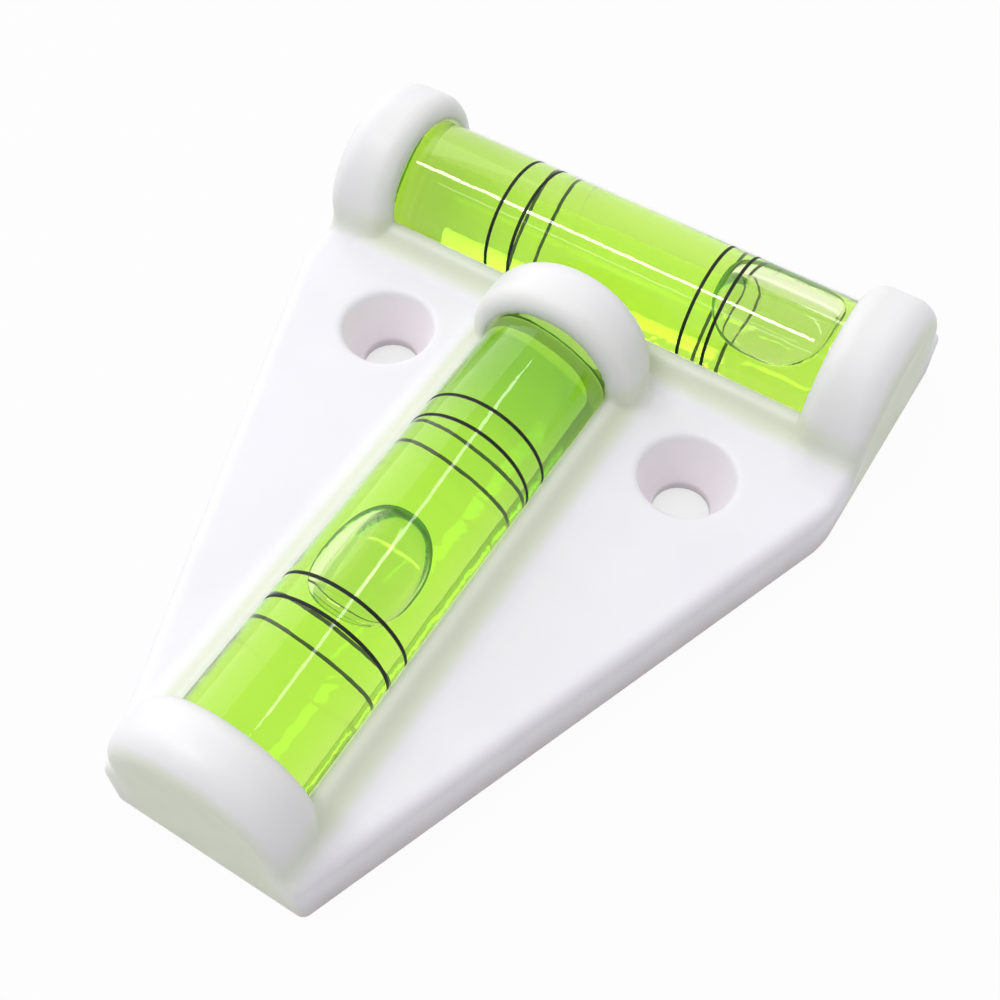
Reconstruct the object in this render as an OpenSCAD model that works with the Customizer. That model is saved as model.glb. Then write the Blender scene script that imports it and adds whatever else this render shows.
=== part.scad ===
// T-shaped bubble level. A keystone plate of white plastic carries two equal tubular vials:
// the cross vial lies across the wide end and the stem vial runs down to the narrow nose.
// Each vial goes in from the open underside, its ends are covered by round caps, and it is held
// by ridges below its middle. Two countersunk holes take the fixing screws.
// Millimetres. The mounting face is z = 0, the nose points to -Y and the vials run along X and Y.

/* [Vials] */
// Outside diameter of a vial
vial_diameter = 10.7; // [9:0.1:13]
// Overall length of a vial
vial_length = 45.8; // [42:0.2:60]
// Height of the vial axes above the mounting face
vial_axis_height = 7.3; // [6.9:0.1:9]
// Diameter of the bore at the ends of its chamber
bore_diameter = 8.2; // [7:0.1:8.6]
// Extra radius of the bore at mid-length, which brings the bubble to the middle
bore_crown = 0.25; // [0.1:0.05:0.4]
// Thickness of the solid end of a barrel, and of the plug in its other end
vial_end = 2.4; // [2:0.1:5]
// Diameter of the end plug
plug_diameter = 9.2; // [9:0.1:9.6]
// Radial gap between the plug and its seat
plug_gap = 0.03; // [0.01:0.01:0.08]
// Rounding of a barrel's outer rims
rim_radius = 0.5; // [0.2:0.1:0.8]

/* [Marker lines] */
// Distance between the two inner lines, middle to middle
inner_line_spacing = 16; // [13:0.1:17]
// Distance between the two outer lines, middle to middle
outer_line_spacing = 20.4; // [19:0.1:24]
// Width of a line along the vial
line_width = 0.3; // [0.2:0.05:0.6]
// Depth of the groove that holds a line
line_depth = 0.2; // [0.1:0.05:0.3]
// Gap between a line and its groove
line_gap = 0.02; // [0.01:0.01:0.04]

/* [Bubbles] */
// Length of a bubble
bubble_length = 10.4; // [8:0.1:14]
// Depth of the cross bubble at its middle
cross_bubble_depth = 3; // [1.8:0.1:3.4]
// Depth of the stem bubble at its middle
stem_bubble_depth = 3; // [1.8:0.1:3.4]
// Film of fluid between a bubble and the bore
bubble_film = 0.15; // [0.1:0.05:0.3]
// Gap between the fluid and what it touches
fluid_gap = 0.05; // [0.02:0.01:0.08]
// Place of the cross bubble along its vial, from the middle toward +X
cross_bubble_place = 13.7; // [-14:0.1:14]
// Place of the stem bubble along its vial, from the middle toward the back
stem_bubble_place = -4.6; // [-6:0.1:6]

/* [Cradles] */
// Gap between a vial and the housing
vial_clearance = 0.1; // [0.05:0.05:0.2]
// Wall of the housing round a vial
cradle_wall = 1.9; // [1.5:0.1:2.4]
// Length of vial that each cap covers, apart from the nose cap
cap_grip = 3.7; // [2:0.1:5]
// Length of vial that the nose cap covers
nose_grip = 3; // [2:0.1:5]
// Wall between the end of a vial and the plate's edge
end_wall = 2; // [1.6:0.1:5]
// Wall between the stem vial's back end and the cross vial's channel
partition = 3.3; // [2.6:0.1:6]
// Step from the back of the stem's rear cap to the cross vial's channel
rear_cap_step = 1.4; // [0.5:0.1:2]
// Rounding of the caps where they meet the plate's edge
cap_outer_radius = 2.4; // [1:0.1:2.6]
// Rounding of the caps toward the window
cap_inner_radius = 1.6; // [0.4:0.1:1.8]
// Height of the rails beside the windows, above the plate
rail_height = 1.7; // [1:0.1:2.2]
// Flat width on top of a rail
rail_top = 1; // [0.6:0.1:1.4]
// Reach of the ridges that hold a vial from below
ridge_reach = 0.4; // [0.2:0.05:0.5]
// Height of the retaining ridges
ridge_height = 1.8; // [1.6:0.1:2.4]
// Length of each retaining ridge
ridge_length = 8; // [5:0.5:12]

/* [Plate] */
// Thickness of the plate
plate_thickness = 5.5; // [5:0.1:6.4]
// Rounding of the plate's upper edges and upright corners
edge_radius = 1; // [0.5:0.1:1.6]
// Ledge beside the nose cap
nose_ledge = 0.85; // [0.6:0.05:3]
// Ledge behind the cross cradle
back_ledge = 2.4; // [1.8:0.1:5]
// Straight run of the sides ahead of the cross cradle
shoulder_run = 3.9; // [2:0.1:8]
// Thickness of the deck over the hollow underside
deck_thickness = 2; // [1.5:0.1:3]
// Thickness of the outer walls round the hollow underside
skirt_wall = 1.8; // [1.4:0.1:2.4]
// Thickness of the ribs under the deck
rib_thickness = 1.2; // [0.8:0.1:1.6]

/* [Screw holes] */
// Distance between the two screw holes
hole_spacing = 28; // [26:0.5:30]
// Distance from the screw holes to the cross cradle
hole_setback = 7; // [6:0.1:9]
// Diameter of the screw holes
screw_diameter = 4.6; // [3.5:0.1:5]
// Diameter of the countersinks at the plate's top
countersink_diameter = 7.8; // [6.5:0.1:8.4]
// Straight part of a hole, below its countersink
hole_land = 1.1; // [0.8:0.1:2]
// Wall of the boss round a screw hole
boss_wall = 2.4; // [1.6:0.1:2.8]

/* [Hidden] */

$fn = 64;
// Sides of the posts that round the plate's corners
post_sides = 32;
// Steps along the flat curve of the bore
crown_steps = 12;
// Overrun of a cut past the face that it opens
cut = 1;

vial_radius = vial_diameter / 2;
bore_radius = bore_diameter / 2;
bore_half = vial_length / 2 - vial_end;
channel_radius = vial_radius + vial_clearance;
channel_length = vial_length + 2 * vial_clearance;
cap_radius = channel_radius + cradle_wall;
cap_length = cap_grip + vial_clearance + end_wall;
nose_cap_length = nose_grip + vial_clearance + end_wall;
rear_cap_length = cap_grip + vial_clearance + partition - rear_cap_step;
// Ends of the windows, along each vial from its middle
cross_window = [cap_grip - vial_length / 2, vial_length / 2 - cap_grip];
stem_window = [nose_grip - vial_length / 2, vial_length / 2 - cap_grip];

plate_width = channel_length + 2 * end_wall;
nose_width = 2 * (cap_radius + nose_ledge);
// Distances from the nose toward the back
stem_middle = end_wall + channel_length / 2;
cross_middle = end_wall + channel_length + partition + channel_radius;
cross_front = cross_middle - cap_radius;
shoulder = cross_front - shoulder_run;
plate_length = cross_middle + cap_radius + back_ledge;
nose_y = -plate_length / 2;

line_places = [
    -outer_line_spacing / 2, -inner_line_spacing / 2,
    inner_line_spacing / 2, outer_line_spacing / 2
];
bubble_radius = bore_radius - bubble_film;

outline = [
    [-nose_width / 2, nose_y],
    [nose_width / 2, nose_y],
    [plate_width / 2, nose_y + shoulder],
    [plate_width / 2, nose_y + plate_length],
    [-plate_width / 2, nose_y + plate_length],
    [-plate_width / 2, nose_y + shoulder]
];

// Inward normal of the side from a to b of an outline that runs anticlockwise
function inward(a, b) = let (d = (b - a) / norm(b - a)) [-d.y, d.x];

// Corner q of an outline, moved in by a distance from both of its sides
function inset_corner(p, q, r, distance) =
    let (first = inward(p, q), second = inward(q, r))
    q + distance * (first + second) / (1 + first * second);

function inset(points, distance) =
    let (n = len(points))
    [for (i = [0:n - 1]) inset_corner(points[(i + n - 1) % n], points[i], points[(i + 1) % n], distance)];

// Radius of the arc that rises by a height over a half chord
function arc_radius(half_chord, rise) = (half_chord * half_chord + rise * rise) / (2 * rise);

// Local frame of a vial: its axis is z and +y is up
module on_cross() {
    translate([0, nose_y + cross_middle, vial_axis_height]) rotate([90, 0, 90]) children();
}

module on_stem() {
    translate([0, nose_y + stem_middle, vial_axis_height]) rotate([90, 0, 180]) children();
}

// Upright post with a rounded upper edge
module rounded_post(height, radius) {
    rotate_extrude($fn = post_sides) {
        square([radius, height - radius]);
        translate([0, height - radius]) intersection() {
            circle(r = radius, $fn = post_sides);
            square(radius);
        }
    }
}

// Plate whose upper edges and upright corners are rounded to one radius
module rounded_plate(points, height, radius) {
    hull()
        for (corner = inset(points, radius))
            translate([corner.x, corner.y, 0]) rounded_post(height, radius);
}

// Half section of a cap: the radius is x, and y runs from the window to the outer end
module cap_half_section(length) {
    outer_centre = [cap_radius - cap_outer_radius, length - cap_outer_radius];
    inner_centre = [cap_radius - cap_inner_radius, cap_inner_radius];
    square([outer_centre.x, length]);
    translate([0, inner_centre.y]) square([cap_radius, outer_centre.y - inner_centre.y]);
    square([inner_centre.x, inner_centre.y]);
    translate(outer_centre) circle(r = cap_outer_radius);
    translate(inner_centre) circle(r = cap_inner_radius);
}

// Round cap over one end of a vial: a half revolve on a straight foot, from the window outward
module cap(length) {
    rotate_extrude(angle = 180) cap_half_section(length);
    rotate([90, 0, 0]) linear_extrude(vial_axis_height) {
        cap_half_section(length);
        mirror([1, 0]) cap_half_section(length);
    }
}

// Caps at both ends of a window, with the length of each
module caps(window, near_length, far_length) {
    translate([0, 0, window[1]]) cap(far_length);
    mirror([0, 0, 1]) translate([0, 0, -window[0]]) cap(near_length);
}

// Rails along both sides of a window, with a flat top and a sloping outer face
module rails(window) {
    foot = plate_thickness - vial_axis_height;
    root = -vial_axis_height + deck_thickness;
    section = [
        [0, root], [cap_radius, root], [cap_radius, foot],
        [channel_radius + rail_top, foot + rail_height], [0, foot + rail_height]
    ];
    translate([0, 0, window[0] - cap_inner_radius])
        linear_extrude(window[1] - window[0] + 2 * cap_inner_radius) {
            polygon(section);
            mirror([1, 0]) polygon(section);
        }
}

// Space for a vial: a round channel that is open to the underside and to the window
module channel(window) {
    translate([0, 0, -channel_length / 2]) linear_extrude(channel_length) {
        circle(r = channel_radius);
        translate([-channel_radius, -vial_axis_height - cut])
            square([2 * channel_radius, vial_axis_height + cut]);
    }
    translate([-channel_radius, 0, window[0]])
        cube([2 * channel_radius, cap_radius + cut, window[1] - window[0]]);
}

// Ridges on the channel's walls that keep a vial from dropping out
module retaining_ridges() {
    seat = sqrt(pow(channel_radius, 2) - pow(channel_radius - ridge_reach, 2));
    for (end = [-1, 1], side = [0, 1])
        mirror([side, 0, 0])
            translate([0, 0, end * (channel_length - ridge_length) / 2 - ridge_length / 2])
                linear_extrude(ridge_length)
                    difference() {
                        polygon([
                            [channel_radius + cradle_wall / 2, -seat - ridge_height],
                            [channel_radius, -seat - ridge_height],
                            [channel_radius - ridge_reach, -seat - ridge_reach],
                            [channel_radius - ridge_reach, 0],
                            [channel_radius + cradle_wall / 2, 0]
                        ]);
                        circle(r = channel_radius);
                    }
}

module at_screw_holes() {
    for (side = [-1, 1])
        translate([side * hole_spacing / 2, nose_y + cross_front - hole_setback, 0]) children();
}

// Straight hole with a deep countersink
module screw_hole() {
    translate([0, 0, -cut]) cylinder(h = hole_land + 2 * cut, d = screw_diameter);
    slope = (countersink_diameter - screw_diameter) / (plate_thickness - hole_land);
    translate([0, 0, hole_land])
        cylinder(
            h = plate_thickness - hole_land + cut,
            d1 = screw_diameter,
            d2 = countersink_diameter + slope * cut
        );
}

// Hollow of the underside: both wings, less the bosses, the ribs and the walls of the cradles
module wing_hollows() {
    front = nose_y + cross_front;
    hole_y = front - hole_setback;
    translate([0, 0, -cut]) linear_extrude(plate_thickness - deck_thickness + cut)
        difference() {
            polygon(inset(outline, skirt_wall));
            translate([-cap_radius, nose_y - cut]) square([2 * cap_radius, plate_length + 2 * cut]);
            translate([-plate_width / 2, front]) square([plate_width, plate_length]);
            translate([-plate_width / 2, hole_y - rib_thickness / 2]) square([plate_width, rib_thickness]);
            at_screw_holes() circle(d = screw_diameter + 2 * boss_wall);
        }
}

module housing() {
    color("#f3f4f1") {
        difference() {
            union() {
                rounded_plate(outline, plate_thickness, edge_radius);
                on_cross() caps(cross_window, cap_length, cap_length);
                on_stem() caps(stem_window, nose_cap_length, rear_cap_length);
                on_cross() rails(cross_window);
                on_stem() rails(stem_window);
            }
            on_cross() channel(cross_window);
            on_stem() channel(stem_window);
            wing_hollows();
            at_screw_holes() screw_hole();
        }
        on_cross() retaining_ridges();
        on_stem() retaining_ridges();
    }
}

// Chamber of a vial, widest at mid-length, drawn in from the bore by a gap
module chamber(gap) {
    half = bore_half - gap;
    rotate_extrude() polygon([
        [0, -half],
        for (i = [0:crown_steps]) let (share = 2 * i / crown_steps - 1)
            [bore_radius - gap + bore_crown * (1 - share * share), share * half],
        [0, half]
    ]);
}

// Clear barrel with one solid end, a seat for the plug and a groove for each line
module barrel() {
    half = vial_length / 2;
    difference() {
        rotate_extrude() {
            translate([0, -half]) square([vial_radius - rim_radius, vial_length]);
            translate([0, rim_radius - half]) square([vial_radius, vial_length - 2 * rim_radius]);
            for (end = [-1, 1])
                translate([vial_radius - rim_radius, end * (half - rim_radius)]) circle(r = rim_radius);
        }
        chamber(0);
        translate([0, 0, -half - cut]) cylinder(h = vial_end + cut, d = plug_diameter + 2 * plug_gap);
        for (place = line_places)
            translate([0, 0, place - line_width / 2])
                difference() {
                    cylinder(h = line_width, r = vial_radius + cut);
                    translate([0, 0, -cut])
                        cylinder(h = line_width + 2 * cut, r = vial_radius - line_depth);
                }
    }
}

// Plug that closes the open end of a barrel
module plug() {
    translate([0, 0, -vial_length / 2]) cylinder(h = vial_end, d = plug_diameter);
}

// Lens between the bore and a spindle above it, which is the shape of the bubble's underside
module bubble_spindle(place, depth, gap) {
    spindle_radius = arc_radius(bubble_length / 2, depth);
    translate([0, 2 * bubble_radius - depth, place])
        rotate_extrude() intersection() {
            translate([bubble_radius - spindle_radius, 0]) circle(r = spindle_radius + gap);
            translate([0, -bubble_length]) square([vial_diameter, 2 * bubble_length]);
        }
}

module bubble(place, depth) {
    intersection() {
        translate([0, 0, place - bubble_length]) cylinder(h = 2 * bubble_length, r = bubble_radius);
        bubble_spindle(place, depth, 0);
    }
}

// Fluid that fills the chamber round its bubble
module fluid(place, depth) {
    difference() {
        chamber(fluid_gap);
        bubble_spindle(place, depth, fluid_gap);
    }
}

// Inlaid line round a barrel
module line(place) {
    width = line_width - 2 * line_gap;
    translate([0, 0, place - width / 2]) difference() {
        cylinder(h = width, r = vial_radius);
        translate([0, 0, -cut]) cylinder(h = width + 2 * cut, r = vial_radius - line_depth + line_gap);
    }
}

module cross_barrel() { color("#e4f2cf") on_cross() barrel(); }
module cross_plug() { color("#dcebc6") on_cross() plug(); }
module cross_fluid() { color("#9fe22c") on_cross() fluid(cross_bubble_place, cross_bubble_depth); }
module cross_bubble() { color("#eef5e2") on_cross() bubble(cross_bubble_place, cross_bubble_depth); }
module cross_line(i) { color("#14210f") on_cross() line(line_places[i]); }

module stem_barrel() { color("#e4f2cf") on_stem() barrel(); }
module stem_plug() { color("#dcebc6") on_stem() plug(); }
module stem_fluid() { color("#9fe22c") on_stem() fluid(stem_bubble_place, stem_bubble_depth); }
module stem_bubble() { color("#eef5e2") on_stem() bubble(stem_bubble_place, stem_bubble_depth); }
module stem_line(i) { color("#14210f") on_stem() line(line_places[i]); }

housing();
cross_barrel();
cross_plug();
cross_fluid();
cross_bubble();
cross_line(0);  // cross_line_1
cross_line(1);  // cross_line_2
cross_line(2);  // cross_line_3
cross_line(3);  // cross_line_4
stem_barrel();
stem_plug();
stem_fluid();
stem_bubble();
stem_line(0);  // stem_line_1
stem_line(1);  // stem_line_2
stem_line(2);  // stem_line_3
stem_line(3);  // stem_line_4
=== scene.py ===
"""A T-shaped bubble level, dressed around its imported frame.

The housing is the zero level of a distance field, the vials are surfaces of revolution and the
bubbles are lens shapes in polar coordinates. Lengths are millimetres until a mesh is made.
"""

from __future__ import annotations

import itertools
import logging
import math
from collections.abc import Callable, Mapping, Sequence
from dataclasses import dataclass
from enum import Enum
from functools import reduce

import bpy
import numpy as np
from mathutils import Matrix, Vector

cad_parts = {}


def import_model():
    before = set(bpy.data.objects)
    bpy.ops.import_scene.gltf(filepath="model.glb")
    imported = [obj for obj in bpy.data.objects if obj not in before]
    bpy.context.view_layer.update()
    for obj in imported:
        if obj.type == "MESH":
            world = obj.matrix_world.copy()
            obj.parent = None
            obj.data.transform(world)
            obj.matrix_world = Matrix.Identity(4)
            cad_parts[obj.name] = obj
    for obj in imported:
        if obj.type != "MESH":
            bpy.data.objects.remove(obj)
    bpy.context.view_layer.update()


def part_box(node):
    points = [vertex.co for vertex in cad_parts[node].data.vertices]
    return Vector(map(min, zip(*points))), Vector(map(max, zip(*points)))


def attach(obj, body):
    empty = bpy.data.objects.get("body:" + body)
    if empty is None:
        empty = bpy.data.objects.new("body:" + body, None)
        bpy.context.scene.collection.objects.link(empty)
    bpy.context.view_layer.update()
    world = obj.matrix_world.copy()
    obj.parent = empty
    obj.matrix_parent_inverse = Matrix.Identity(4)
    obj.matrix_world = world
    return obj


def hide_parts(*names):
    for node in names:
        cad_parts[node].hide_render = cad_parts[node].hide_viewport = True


LOG = logging.getLogger("bubble_level")
MILLIMETRE = 0.001
LEVEL_BODY = "level"
TINY = 1e-9

Array = np.ndarray
Pair = tuple[float, float]
Triple = tuple[float, float, float]
Colour = Triple
Spot = Sequence[Array]
Field = Callable[[Spot], Array]

UP = np.array([0.0, 0.0, 1.0])
WHITE: Colour = (1.0, 1.0, 1.0)
BLACK: Colour = (0.0, 0.0, 0.0)


class Slot(Enum):
    """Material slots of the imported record."""

    PLASTIC = "white_plastic"
    ACRYLIC = "clear_acrylic"
    FLUID = "green_fluid"
    BUBBLE = "air_bubble"
    INK = "line_ink"


# Distance fields


def round_both(first: Array, second: Array, radius: float | Array) -> Array:
    """Intersection of two distance fields, its edge rounded to a radius.

    Args:
        first: Signed distance to one solid, negative inside.
        second: Signed distance to the other solid.
        radius: Radius of the rounded edge, one for all points or one each.

    Returns:
        The larger distance, or within the radius of both faces the distance to a quarter circle.
    """
    corner = np.hypot(np.maximum(radius + first, 0), np.maximum(radius + second, 0))
    return np.minimum(-radius, np.maximum(first, second)) + corner


def round_either(first: Array, second: Array, radius: float | Array) -> Array:
    """Union of two distance fields with a cove of a radius where they meet.

    Args:
        first: Signed distance to one solid.
        second: Signed distance to the other solid.
        radius: Radius of the cove.

    Returns:
        The rounded intersection of the two outsides, turned inside out.
    """
    return -round_both(-first, -second, radius)


def ramp(values: Array, low: float, high: float) -> Array:
    """Smooth step from 0 at low to 1 at high: three squares less two cubes of the share."""
    share = np.clip((values - low) / (high - low), 0, 1)
    return share * share * (3 - 2 * share)


@dataclass(frozen=True)
class FieldMesher:
    """Turns the zero level of a distance field into quads, one vertex for each crossed cell.

    Attributes:
        cell: Width of a cell of the sampling lattice.
        relax_steps: Rounds of smoothing along the surface.
        settle_steps: Newton steps onto the surface after each round.
        probe: Half step of the central differences.
        room_below: Cells below the solid on each axis, uneven so that no flat face lies on the lattice.
        room_above: Cells above the solid.
        least_slope: Least square of the gradient that a Newton step divides by.
        stride: Longest Newton step, in cells.
    """

    cell: float
    relax_steps: int = 3
    settle_steps: int = 3
    probe: float = 0.01
    room_below: Triple = (1.37, 1.41, 1.43)
    room_above: int = 2
    least_slope: float = 0.25
    stride: float = 0.5

    def mesh(self, solid: Field, low: Array, high: Array) -> tuple[Array, Array]:
        """Points and quads of the surface inside a box.

        Args:
            solid: The distance field.
            low: Lowest corner of the solid.
            high: Highest corner of the solid.

        Returns:
            The points and the corner numbers of the quads, facing outward.
        """
        start = low - self.cell * np.array(self.room_below)
        stop = high + self.room_above * self.cell
        axes = [np.arange(first, last, self.cell) for first, last in zip(start, stop)]
        values = solid(np.meshgrid(*axes, indexing="ij"))
        points, quads = self._nets(values)
        points = start + points * self.cell
        points = self._settle(solid, points)
        for _ in range(self.relax_steps):
            points = self._relax(points, quads)
            points = self._settle(solid, points)
        return points, quads

    @staticmethod
    def _nets(values: Array) -> tuple[Array, Array]:
        """Surface nets: a vertex at the mean of a cell's edge crossings, a quad round each crossed edge.

        Args:
            values: The field at each point of the lattice.

        Returns:
            The vertices, in cells from the lattice's start, and the corner numbers of the quads.
        """
        inside = values < 0
        size = np.array(values.shape) - 1
        corners = np.array(list(itertools.product((0, 1), repeat=3)))
        stacked = np.stack([
            inside[i:i + size[0], j:j + size[1], k:k + size[2]] for i, j, k in corners
        ])
        active = stacked.any(0) & ~stacked.all(0)
        number = np.full(active.shape, -1)
        cells = np.argwhere(active)
        number[active] = np.arange(len(cells))

        places = cells[:, None, :] + corners[None]
        sampled = values[places[..., 0], places[..., 1], places[..., 2]]
        pairs = np.array([
            (a, b) for a, b in itertools.combinations(range(8), 2)
            if np.abs(corners[a] - corners[b]).sum() == 1
        ])
        first, second = sampled[:, pairs[:, 0]], sampled[:, pairs[:, 1]]
        crossed = (first < 0) != (second < 0)
        share = np.where(crossed, first / np.where(crossed, first - second, 1), 0)
        step = (corners[pairs[:, 1]] - corners[pairs[:, 0]])[None]
        hits = corners[pairs[:, 0]][None] + share[..., None] * step
        weight = crossed[..., None]
        points = cells + (hits * weight).sum(1) / weight.sum(1)

        quads = []
        for axis in range(3):
            side, up = np.eye(3, dtype=int)[[(axis + 1) % 3, (axis + 2) % 3]]
            lower = np.take(inside, range(size[axis]), axis)
            upper = np.take(inside, range(1, size[axis] + 1), axis)
            edges = np.argwhere(lower != upper)
            ring = [edges, edges - side, edges - side - up, edges - up]
            quad = np.stack([number[tuple(place.T)] for place in ring], 1)
            outward = lower[tuple(edges.T)]
            quads.append(np.where(outward[:, None], quad, quad[:, ::-1]))
        return points, np.concatenate(quads)

    def _gradient(self, solid: Field, points: Array) -> Array:
        """Central differences of the field.

        Args:
            solid: The distance field.
            points: Where they are taken.

        Returns:
            The gradient at each point.
        """
        steps = self.probe * np.eye(3)
        differences = [solid((points + step).T) - solid((points - step).T) for step in steps]
        return np.stack(differences, 1) / (2 * self.probe)

    def _settle(self, solid: Field, points: Array) -> Array:
        """Newton steps down the field's gradient to its zero level, each within the stride.

        Args:
            solid: The distance field.
            points: Points near its surface.

        Returns:
            The points on the surface.
        """
        for _ in range(self.settle_steps):
            slope = self._gradient(solid, points)
            steep = np.maximum((slope * slope).sum(1), self.least_slope)
            move = -(solid(points.T) / steep)[:, None] * slope
            length = np.linalg.norm(move, axis=1)
            share = np.minimum(1, self.stride * self.cell / np.maximum(length, TINY))
            points = points + move * share[:, None]
        return points

    @staticmethod
    def _relax(points: Array, quads: Array) -> Array:
        """Moves each point half of the way to the mean of its neighbours.

        Args:
            points: The points.
            quads: Corner numbers of the quads between them.

        Returns:
            The moved points.
        """
        start = quads.ravel()
        end = np.roll(quads, -1, axis=1).ravel()
        count = np.bincount(start, minlength=len(points))
        mean = np.stack([np.bincount(start, points[end, i], len(points)) for i in range(3)], 1)
        return (points + mean / count[:, None]) / 2


# Surfaces on a grid


def strip_faces(rows: int, columns: int, closed_rows: bool) -> Array:
    """Quads of a grid of points whose columns run in a closed ring.

    Args:
        rows: Number of rows.
        columns: Number of points in each row.
        closed_rows: Whether the last row joins the first one.

    Returns:
        Corner numbers of the quads, row by row.
    """
    row = np.arange(rows if closed_rows else rows - 1)[:, None]
    column = np.arange(columns)[None]
    here, after = row * columns, (row + 1) % rows * columns
    beside = (column + 1) % columns
    return np.stack([here + column, here + beside, after + beside, after + column], -1).reshape(-1, 4)


@dataclass
class Shell:
    """Points and faces of one closed surface.

    Attributes:
        points: The points, one row each.
        faces: Corner numbers of each face.
    """

    points: Array
    faces: list[list[int]]

    @classmethod
    def revolved(cls, profile: Array, segments: int) -> Shell:
        """Surface of revolution about the second axis of its profile.

        A point (r, w) of the profile goes to (r cos a, w, r sin a) for each angle a. A profile that starts
        and ends on the axis gets one pole at each end, and any other is joined end to start.

        Args:
            profile: Radius and axial place of each point.
            segments: Number of steps round the axis.

        Returns:
            The closed surface, facing outward.
        """
        angle = np.linspace(0, 2 * np.pi, segments, endpoint=False)
        poles = bool(profile[0, 0] < TINY and profile[-1, 0] < TINY)
        rings = profile[1:-1] if poles else profile
        radius = rings[:, :1]
        axial = np.broadcast_to(rings[:, 1:], (len(rings), segments))
        points = np.stack([radius * np.cos(angle), axial, radius * np.sin(angle)], -1).reshape(-1, 3)
        faces = strip_faces(len(rings), segments, closed_rows=not poles).tolist()
        if poles:
            return cls.with_poles(points, faces, segments, (0, profile[0, 1], 0), (0, profile[-1, 1], 0))
        return cls(points, faces).outward()

    @classmethod
    def with_poles(
        cls, points: Array, faces: list[list[int]], columns: int, first: Triple, last: Triple
    ) -> Shell:
        """Closes a strip of rings by a fan to one point at each end.

        Args:
            points: Points of the rings, ring after ring.
            faces: Faces between the rings.
            columns: Number of points in a ring.
            first: The pole before the first ring.
            last: The pole after the last ring.

        Returns:
            The closed surface, facing outward.
        """
        count = len(points)
        here = np.arange(columns)
        beside = (here + 1) % columns
        end = count - columns
        fans = [
            np.stack([np.full(columns, count), beside, here], 1),
            np.stack([np.full(columns, count + 1), end + here, end + beside], 1),
        ]
        whole = np.vstack([points, [first, last]])
        return cls(whole, faces + np.concatenate(fans).tolist()).outward()

    def outward(self) -> Shell:
        """Turns the surface if the volume that it encloses comes out negative.

        Returns:
            The same surface, facing outward.
        """
        corner = np.array([face[:3] for face in self.faces])
        other = np.array([[face[0], face[-2], face[-1]] for face in self.faces if len(face) == 4])
        triangles = self.points[np.vstack([corner, other]) if len(other) else corner]
        volume = np.einsum("ij,ij->", triangles[:, 0], np.cross(triangles[:, 1], triangles[:, 2]))
        return self if volume > 0 else self.inward()

    def inward(self) -> Shell:
        """The same surface, facing the other way."""
        return Shell(self.points, [face[::-1] for face in self.faces])


def rounded_corner(centre: Pair, radius: float, start: float, end: float, steps: int = 8) -> Array:
    """Arc of a profile.

    Args:
        centre: Radius and axial place of the arc's centre.
        radius: Radius of the arc.
        start: First angle, in degrees from the radius direction toward the axis direction.
        end: Last angle.
        steps: Number of steps.

    Returns:
        Points at the centre plus the radius times cosine and sine of each angle.
    """
    angle = np.radians(np.linspace(start, end, steps + 1))
    return np.array(centre) + radius * np.stack([np.cos(angle), np.sin(angle)], 1)


def make_piece(
    name: str, shells: Sequence[Shell], materials: Sequence[bpy.types.Material]
) -> bpy.types.Object:
    """A mesh object at the origin, from shells in millimetres.

    Args:
        name: Name of the piece.
        shells: Its closed surfaces.
        materials: One material for each shell.

    Returns:
        The object, linked to the scene and shaded smooth.
    """
    points = np.concatenate([shell.points for shell in shells]) * MILLIMETRE
    starts = np.cumsum([0] + [len(shell.points) for shell in shells])
    faces = [[int(start + i) for i in face] for start, shell in zip(starts, shells) for face in shell.faces]
    mesh = bpy.data.meshes.new(name)
    mesh.from_pydata(points.tolist(), [], faces)
    kind = np.repeat(np.arange(len(shells)), [len(shell.faces) for shell in shells])
    mesh.polygons.foreach_set("material_index", kind.astype(np.int32))
    mesh.polygons.foreach_set("use_smooth", np.ones(len(faces), bool))
    for material in materials:
        mesh.materials.append(material)
    mesh.update()
    piece = bpy.data.objects.new(name, mesh)
    bpy.context.scene.collection.objects.link(piece)
    return piece


# Shader expressions


class Number:
    """A number socket of a node tree, which takes part in Python expressions."""

    def __init__(self, graph: Graph, socket: bpy.types.NodeSocket) -> None:
        """Holds the tree and the socket."""
        self.graph = graph
        self.socket = socket

    def _math(self, operation: str, first: Number | float, second: Number | float) -> Number:
        """Adds one Math node."""
        made = self.graph.node("ShaderNodeMath", {"operation": operation}, {0: first, 1: second})
        return Number(self.graph, made.outputs[0])

    def __add__(self, other: Number | float) -> Number:
        """Sum."""
        return self._math("ADD", self, other)

    def __sub__(self, other: Number | float) -> Number:
        """Difference."""
        return self._math("SUBTRACT", self, other)

    def __rsub__(self, other: float) -> Number:
        """Difference from a plain number."""
        return self._math("SUBTRACT", other, self)

    def __mul__(self, other: Number | float) -> Number:
        """Product."""
        return self._math("MULTIPLY", self, other)

    def __pow__(self, other: float) -> Number:
        """Power."""
        return self._math("POWER", self, other)

    def larger(self, other: Number | float) -> Number:
        """The larger of the two."""
        return self._math("MAXIMUM", self, other)

    def size(self) -> Number:
        """The number without its sign."""
        return self._math("ABSOLUTE", self, 0.0)

    def hypotenuse(self, other: Number) -> Number:
        """Root of the sum of both squares."""
        return (self * self + other * other) ** 0.5

    def between(self, low: float, high: float, first: float = 0.0, last: float = 1.0) -> Number:
        """Smooth step between two values.

        Args:
            low: Number that is mapped to the first value, as is anything below it.
            high: Number that is mapped to the last value, as is anything above it.
            first: The first value.
            last: The last value.

        Returns:
            The mapped number.
        """
        settings = {"interpolation_type": "SMOOTHSTEP"}
        inputs = {"Value": self, "From Min": low, "From Max": high, "To Min": first, "To Max": last}
        made = self.graph.node("ShaderNodeMapRange", settings, inputs)
        return Number(self.graph, made.outputs["Result"])

    __radd__ = __add__
    __rmul__ = __mul__


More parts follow.
